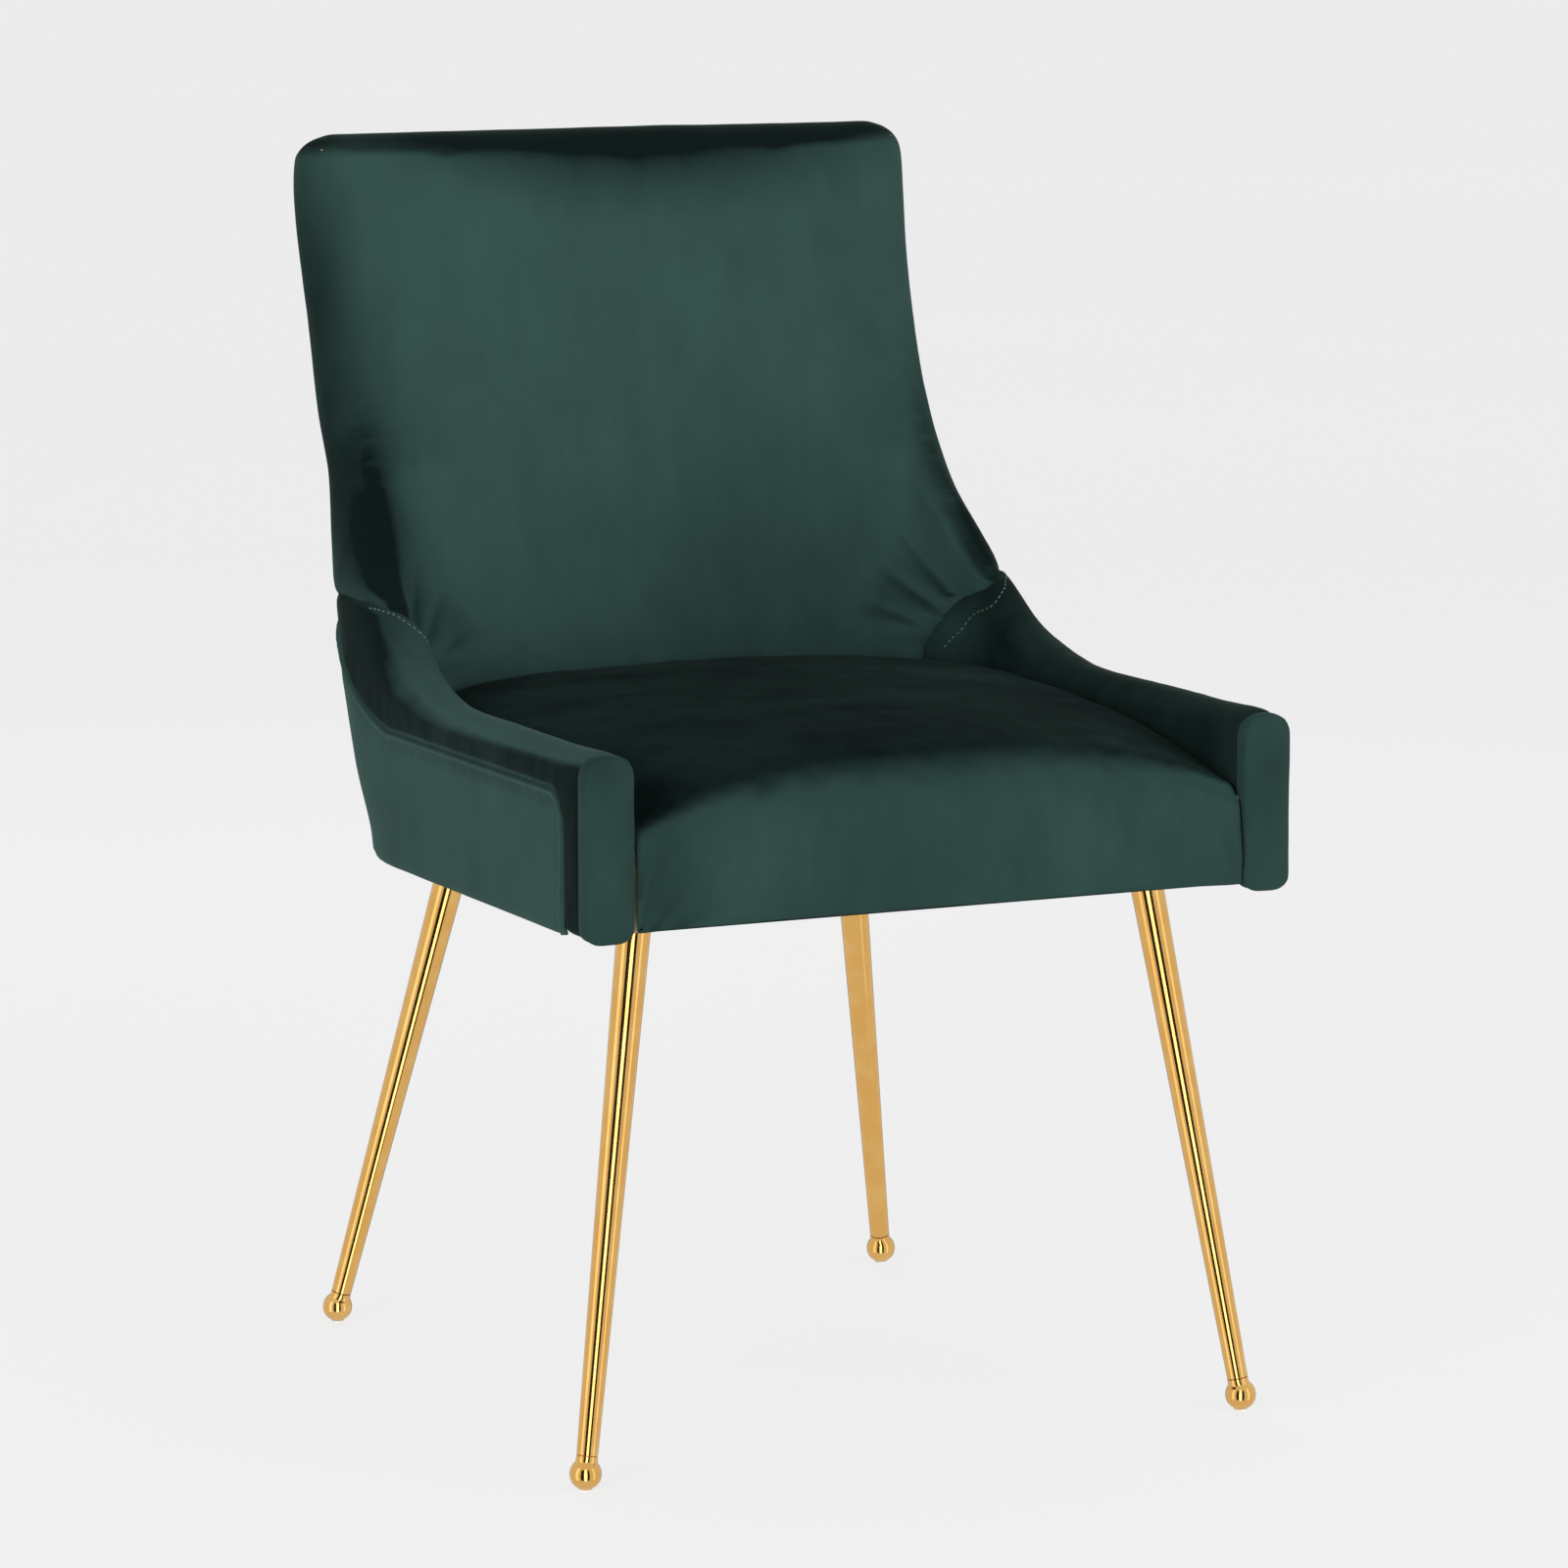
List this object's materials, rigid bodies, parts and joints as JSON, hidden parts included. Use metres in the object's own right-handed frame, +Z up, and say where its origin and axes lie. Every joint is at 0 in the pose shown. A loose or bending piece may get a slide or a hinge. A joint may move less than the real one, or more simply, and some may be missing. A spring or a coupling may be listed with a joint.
{
  "type": "dining chair",
  "caption": "Upholstered dining chair with low arms that sweep up into a raked padded back, a crowned seat and splayed tapered metal legs with ball feet.",
  "frame": {"origin": "on the floor under the middle of the chair's bounding box", "axes": "+Z up, the chair faces -Y, +X is on the viewer's right when looking at its front"},
  "size_m": [0.506, 0.575, 0.85],
  "materials": {
    "velvet": "dark green cut velvet, brushed nap",
    "dust_cloth": "black non-woven cloth",
    "plywood": "birch plywood, sanded",
    "beech": "planed beech",
    "gold_plate": "polished gold-coloured electroplate on steel",
    "black_steel": "black powder coat",
    "zinc": "zinc-plated",
    "nylon": "translucent nylon"
  },
  "bodies": {
    "root": {"arm_facing_left": "velvet", "arm_facing_right": "velvet", "arm_pad_left": "velvet", "arm_pad_right": "velvet", "arm_panel_left": "plywood", "arm_panel_right": "plywood", "back_board": "plywood", "back_pad": "velvet", "back_post_left": "beech", "back_post_right": "beech", "ball_foot_front_left": "gold_plate", "ball_foot_front_right": "gold_plate", "ball_foot_rear_left": "gold_plate", "ball_foot_rear_right": "gold_plate", "bolt_front_1_left": "zinc", "bolt_front_1_right": "zinc", "bolt_front_2_left": "zinc", "bolt_front_2_right": "zinc", "bolt_front_3_left": "zinc", "bolt_front_3_right": "zinc", "bolt_front_4_left": "zinc", "bolt_front_4_right": "zinc", "bolt_rear_1_left": "zinc", "bolt_rear_1_right": "zinc", "bolt_rear_2_left": "zinc", "bolt_rear_2_right": "zinc", "bolt_rear_3_left": "zinc", "bolt_rear_3_right": "zinc", "bolt_rear_4_left": "zinc", "bolt_rear_4_right": "zinc", "corner_block_front_left": "beech", "corner_block_front_right": "beech", "corner_block_rear_left": "beech", "corner_block_rear_right": "beech", "dust_cover": "dust_cloth", "front_rail": "beech", "glide_front_left": "nylon", "glide_front_right": "nylon", "glide_rear_left": "nylon", "glide_rear_right": "nylon", "leg_front_left": "gold_plate", "leg_front_right": "gold_plate", "leg_plate_front_left": "black_steel", "leg_plate_front_right": "black_steel", "leg_plate_rear_left": "black_steel", "leg_plate_rear_right": "black_steel", "leg_rear_left": "gold_plate", "leg_rear_right": "gold_plate", "lower_back_rail": "beech", "outer_side_left": "velvet", "outer_side_right": "velvet", "outside_back": "velvet", "rear_rail": "beech", "seat_board": "plywood", "seat_cushion": "velvet", "side_rail_left": "beech", "side_rail_right": "beech", "top_rail": "beech"}
  },
  "joints": []
}
